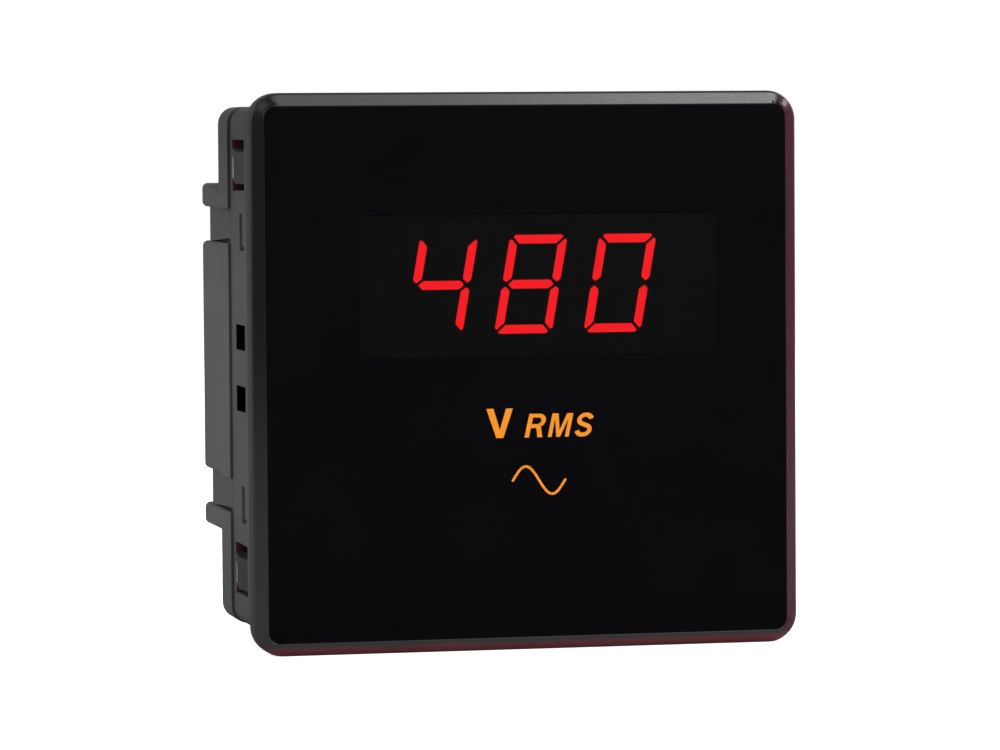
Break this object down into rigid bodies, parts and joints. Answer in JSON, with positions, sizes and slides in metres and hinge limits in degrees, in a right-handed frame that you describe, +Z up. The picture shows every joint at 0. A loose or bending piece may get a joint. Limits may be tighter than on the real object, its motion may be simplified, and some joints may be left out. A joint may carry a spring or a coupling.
{
  "type": "digital panel meter",
  "caption": "Square panel-mounted digital meter with a lit three-figure display, snap-together case and screw terminals at the rear.",
  "frame": {"origin": "centre of the bezel's rear face, which seats on the panel", "axes": "+X to the right seen from the front, +Y to the rear through the panel, +Z up; the display faces -Y"},
  "size_m": [0.096, 0.0677, 0.096],
  "materials": {
    "bezel_black": "satin moulded plastic",
    "film_black": "smooth polyester film",
    "window_smoke": "smoked clear plastic",
    "digit_housing": "matt black moulding",
    "lit_red": "diffusing resin, lit",
    "dark_red": "diffusing resin, unlit",
    "tinned_leg": "tin plate",
    "board_green": "solder resist",
    "zinc_screw": "zinc plate",
    "chip_black": "moulded epoxy",
    "crystal_can": "drawn steel can",
    "header_black": "moulded nylon",
    "gold_pin": "flash gold on brass",
    "core_iron": "varnished laminations",
    "bobbin_nylon": "natural nylon",
    "winding_tape": "enamelled wire under tape",
    "capacitor_sleeve": "shrink sleeve over a can",
    "resistor_body": "lacquered",
    "varistor_blue": "dipped epoxy",
    "case_grey": "finely textured moulding",
    "cover_grey": "finely textured moulding",
    "terminal_black": "glass-filled moulding",
    "contact_brass": "tinned brass",
    "saddle_steel": "zinc plate",
    "terminal_screw_steel": "nickel plate"
  },
  "bodies": {
    "meter": {"front_bezel": "bezel_black", "front_film": "film_black", "display_window": "window_smoke", "digit_left": "digit_housing", "digit_middle": "digit_housing", "digit_right": "digit_housing", "lit_bars_left": "lit_red", "lit_bars_middle": "lit_red", "lit_bars_right": "lit_red", "dark_bars": "dark_red", "digit_pins": "tinned_leg", "display_board": "board_green", "display_screws": "zinc_screw", "microcontroller": "chip_black", "crystal": "crystal_can", "link_header": "header_black", "link_pins": "gold_pin", "main_board": "board_green", "main_screws": "zinc_screw", "transformer_core": "core_iron", "transformer_bobbin": "bobbin_nylon", "transformer_winding": "winding_tape", "supply_capacitor": "capacitor_sleeve", "bridge_rectifier": "chip_black", "voltage_regulator": "chip_black", "input_resistors": "resistor_body", "varistor": "varistor_blue", "case_body": "case_grey", "rear_cover": "cover_grey", "terminal_block": "terminal_black", "terminal_contact_1": "contact_brass", "terminal_contact_2": "contact_brass", "terminal_contact_3": "contact_brass", "terminal_contact_4": "contact_brass"},
    "saddle_1": {"wire_saddle_1": "saddle_steel"},
    "screw_1": {"terminal_screw_1": "terminal_screw_steel"},
    "saddle_2": {"wire_saddle_2": "saddle_steel"},
    "screw_2": {"terminal_screw_2": "terminal_screw_steel"},
    "saddle_3": {"wire_saddle_3": "saddle_steel"},
    "screw_3": {"terminal_screw_3": "terminal_screw_steel"},
    "saddle_4": {"wire_saddle_4": "saddle_steel"},
    "screw_4": {"terminal_screw_4": "terminal_screw_steel"}
  },
  "joints": [
    {"name": "saddle_1_lift", "type": "slide", "parent": "meter", "child": "saddle_1", "axis": [0, 1, 0], "range_m": [0, 0.003]},
    {"name": "screw_1_turn", "type": "hinge", "parent": "saddle_1", "child": "screw_1", "pos_m": [-0.015, 0.0509, 0.0374], "axis": [0, 1, 0], "range_deg": [0, 1545]},
    {"name": "saddle_2_lift", "type": "slide", "parent": "meter", "child": "saddle_2", "axis": [0, 1, 0], "range_m": [0, 0.003]},
    {"name": "screw_2_turn", "type": "hinge", "parent": "saddle_2", "child": "screw_2", "pos_m": [-0.005, 0.0509, 0.0374], "axis": [0, 1, 0], "range_deg": [0, 1545]},
    {"name": "saddle_3_lift", "type": "slide", "parent": "meter", "child": "saddle_3", "axis": [0, 1, 0], "range_m": [0, 0.003]},
    {"name": "screw_3_turn", "type": "hinge", "parent": "saddle_3", "child": "screw_3", "pos_m": [0.005, 0.0509, 0.0374], "axis": [0, 1, 0], "range_deg": [0, 1545]},
    {"name": "saddle_4_lift", "type": "slide", "parent": "meter", "child": "saddle_4", "axis": [0, 1, 0], "range_m": [0, 0.003]},
    {"name": "screw_4_turn", "type": "hinge", "parent": "saddle_4", "child": "screw_4", "pos_m": [0.015, 0.0509, 0.0374], "axis": [0, 1, 0], "range_deg": [0, 1545]}
  ],
  "couplings": [
    {"joint": "screw_1_turn", "follows": "saddle_1_lift", "rad_per_m": 8976},
    {"joint": "screw_2_turn", "follows": "saddle_2_lift", "rad_per_m": 8976},
    {"joint": "screw_3_turn", "follows": "saddle_3_lift", "rad_per_m": 8976},
    {"joint": "screw_4_turn", "follows": "saddle_4_lift", "rad_per_m": 8976}
  ]
}
